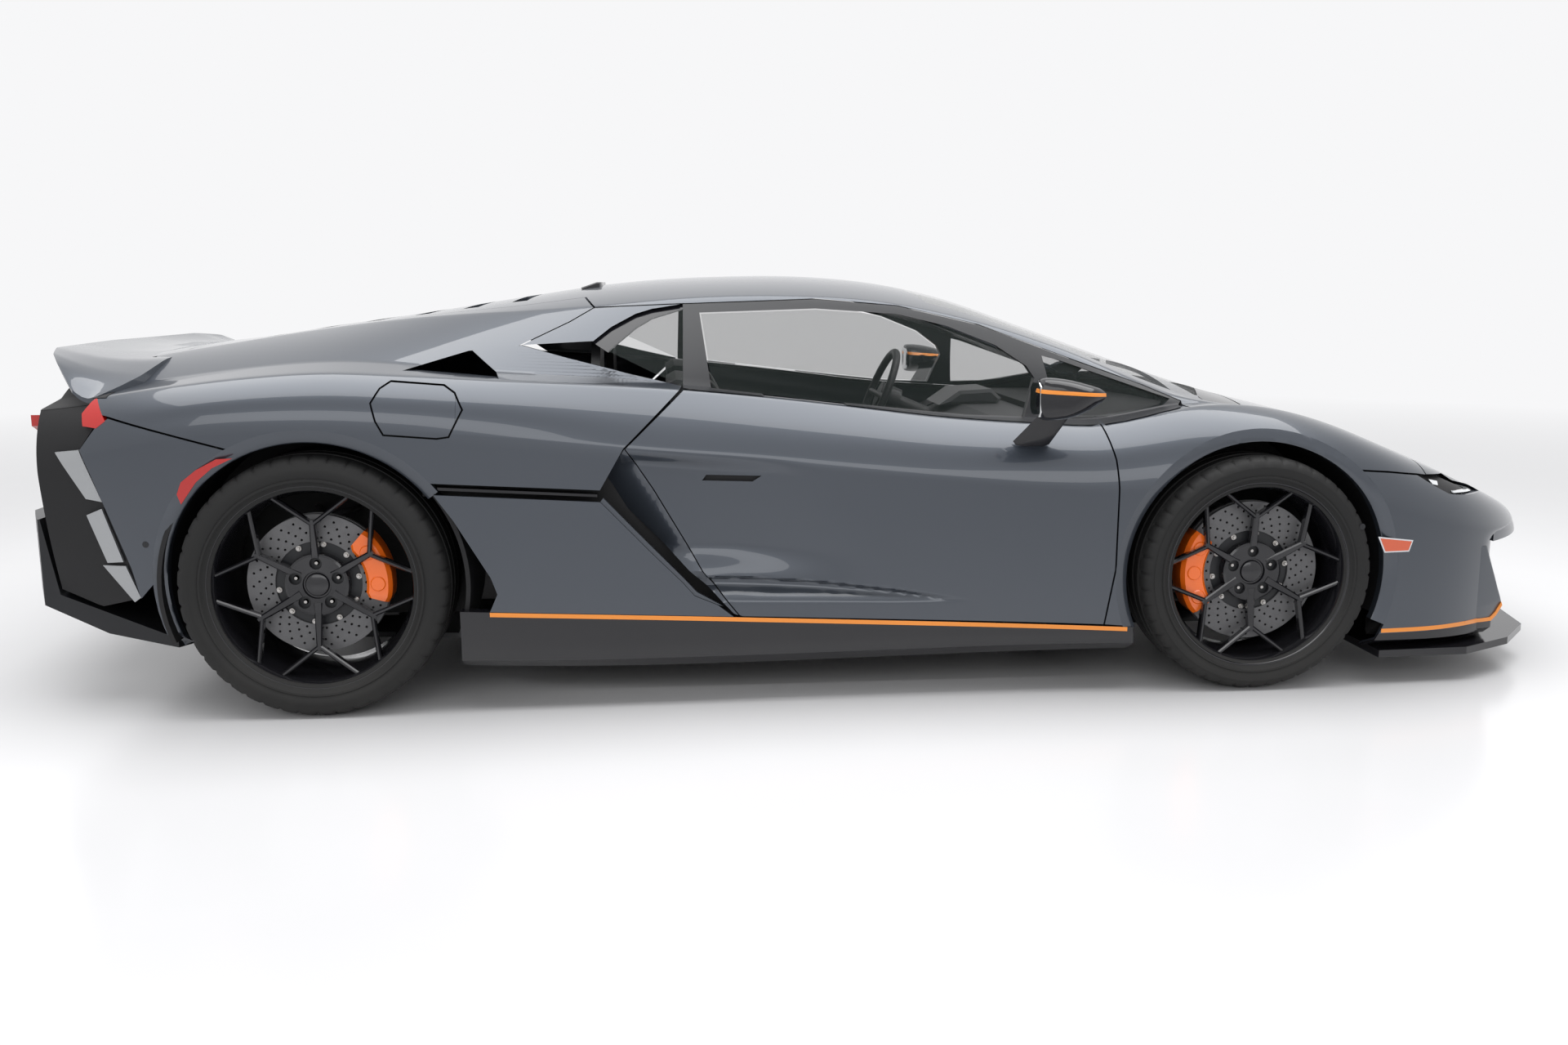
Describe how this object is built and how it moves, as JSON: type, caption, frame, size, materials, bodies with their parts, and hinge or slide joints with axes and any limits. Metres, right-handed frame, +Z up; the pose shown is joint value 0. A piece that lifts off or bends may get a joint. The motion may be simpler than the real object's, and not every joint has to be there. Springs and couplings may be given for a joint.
{
  "type": "supercar",
  "caption": "Low mid-engined two-seat supercar, with opening doors, front lid, engine lid and fuel flap, steered front wheels, side intakes and a finned diffuser.",
  "frame": {"origin": "on the ground below the middle of the car's length and width", "axes": "+X towards the nose, +Y to the car's left, +Z up"},
  "size_m": [4.706, 2.244, 1.2023],
  "materials": {
    "paint": "metallic grey, clear coat",
    "gloss_black": "gloss",
    "matte_black": "satin",
    "tinted_glass": "polished, tinted",
    "cabin_trim": "soft grain",
    "tyre_rubber": "moulded",
    "rim_black": "gloss black",
    "brake_disc": "turned",
    "caliper_orange": "gloss orange",
    "suspension_metal": "cast",
    "exhaust_steel": "heat darkened",
    "lamp_red": "clear red",
    "lamp_clear": "clear, dark behind"
  },
  "bodies": {
    "body": {"sills": "gloss_black", "roof_frame": "gloss_black", "windscreen": "tinted_glass", "quarter_panes": "tinted_glass", "cowl": "matte_black", "front_wing_left": "paint", "front_wing_right": "paint", "front_bumper": "paint", "front_splitter": "matte_black", "rear_quarter_left": "paint", "rear_quarter_right": "paint", "tail_panel": "matte_black", "tail_wing": "paint", "diffuser": "matte_black", "rear_bumper": "paint", "exhaust_tips": "exhaust_steel", "tail_lamps": "lamp_red", "head_lamps": "lamp_clear", "tub": "matte_black", "engine": "suspension_metal", "seats": "cabin_trim", "dashboard": "cabin_trim", "rear_knuckles": "suspension_metal", "rear_calipers": "caliper_orange", "front_suspension": "suspension_metal", "rear_suspension": "suspension_metal", "wheel_liners": "matte_black", "luggage_tub": "matte_black"},
    "front_lid": {"front_lid": "paint"},
    "engine_lid": {"engine_lid": "paint"},
    "door_left": {"door_left": "paint", "mirror_left": "gloss_black"},
    "door_right": {"door_right": "paint", "mirror_right": "gloss_black"},
    "fuel_flap": {"fuel_flap": "paint"},
    "steering_wheel": {"steering_wheel": "cabin_trim"},
    "steer_left": {"knuckle_front_left": "suspension_metal", "caliper_front_left": "caliper_orange"},
    "steer_right": {"knuckle_front_right": "suspension_metal", "caliper_front_right": "caliper_orange"},
    "wheel_front_left": {"tyre_front_left": "tyre_rubber", "rim_front_left": "rim_black", "disc_front_left": "brake_disc"},
    "wheel_front_right": {"tyre_front_right": "tyre_rubber", "rim_front_right": "rim_black", "disc_front_right": "brake_disc"},
    "wheel_rear_left": {"tyre_rear_left": "tyre_rubber", "rim_rear_left": "rim_black", "disc_rear_left": "brake_disc"},
    "wheel_rear_right": {"tyre_rear_right": "tyre_rubber", "rim_rear_right": "rim_black", "disc_rear_right": "brake_disc"}
  },
  "joints": [
    {"name": "steer_left", "type": "hinge", "parent": "body", "child": "steer_left", "pos_m": [1.268, 0.838, 0.34325], "axis": [0, 0, 1], "range_deg": [-32, 32]},
    {"name": "steer_right", "type": "hinge", "parent": "body", "child": "steer_right", "pos_m": [1.268, -0.838, 0.34325], "axis": [0, 0, 1], "range_deg": [-32, 32]},
    {"name": "steering_wheel", "type": "hinge", "parent": "body", "child": "steering_wheel", "pos_m": [0.36, 0.365, 0.77], "axis": [-0.922, 0, 0.3872], "range_deg": [-400, 400]},
    {"name": "door_left", "type": "hinge", "parent": "body", "child": "door_left", "pos_m": [0.86, 0.96, 0.45], "axis": [0, 0, -1], "range_deg": [0, 62]},
    {"name": "door_right", "type": "hinge", "parent": "body", "child": "door_right", "pos_m": [0.86, -0.96, 0.45], "axis": [0, 0, 1], "range_deg": [0, 62]},
    {"name": "front_lid_hinge", "type": "hinge", "parent": "body", "child": "front_lid", "pos_m": [1.322, 0, 0.826], "axis": [0, -1, 0], "range_deg": [0, 60]},
    {"name": "engine_lid_hinge", "type": "hinge", "parent": "body", "child": "engine_lid", "pos_m": [-0.634, 0, 1.192], "axis": [0, 1, 0], "range_deg": [0, 55]},
    {"name": "fuel_flap_hinge", "type": "hinge", "parent": "body", "child": "fuel_flap", "pos_m": [-0.966, -0.98, 0.76], "axis": [0, 0.42, 0.9075], "range_deg": [0, 80]},
    {"name": "spin_front_left", "type": "hinge", "parent": "steer_left", "child": "wheel_front_left", "pos_m": [1.268, 0.858, 0.34325], "axis": [0, 1, 0], "continuous": true},
    {"name": "spin_front_right", "type": "hinge", "parent": "steer_right", "child": "wheel_front_right", "pos_m": [1.268, -0.858, 0.34325], "axis": [0, 1, 0], "continuous": true},
    {"name": "spin_rear_left", "type": "hinge", "parent": "body", "child": "wheel_rear_left", "pos_m": [-1.39, 0.832, 0.3642], "axis": [0, 1, 0], "continuous": true},
    {"name": "spin_rear_right", "type": "hinge", "parent": "body", "child": "wheel_rear_right", "pos_m": [-1.39, -0.832, 0.3642], "axis": [0, 1, 0], "continuous": true}
  ],
  "couplings": [
    {"joint": "steer_right", "follows": "steer_left", "ratio": 1},
    {"joint": "steering_wheel", "follows": "steer_left", "ratio": 12}
  ]
}
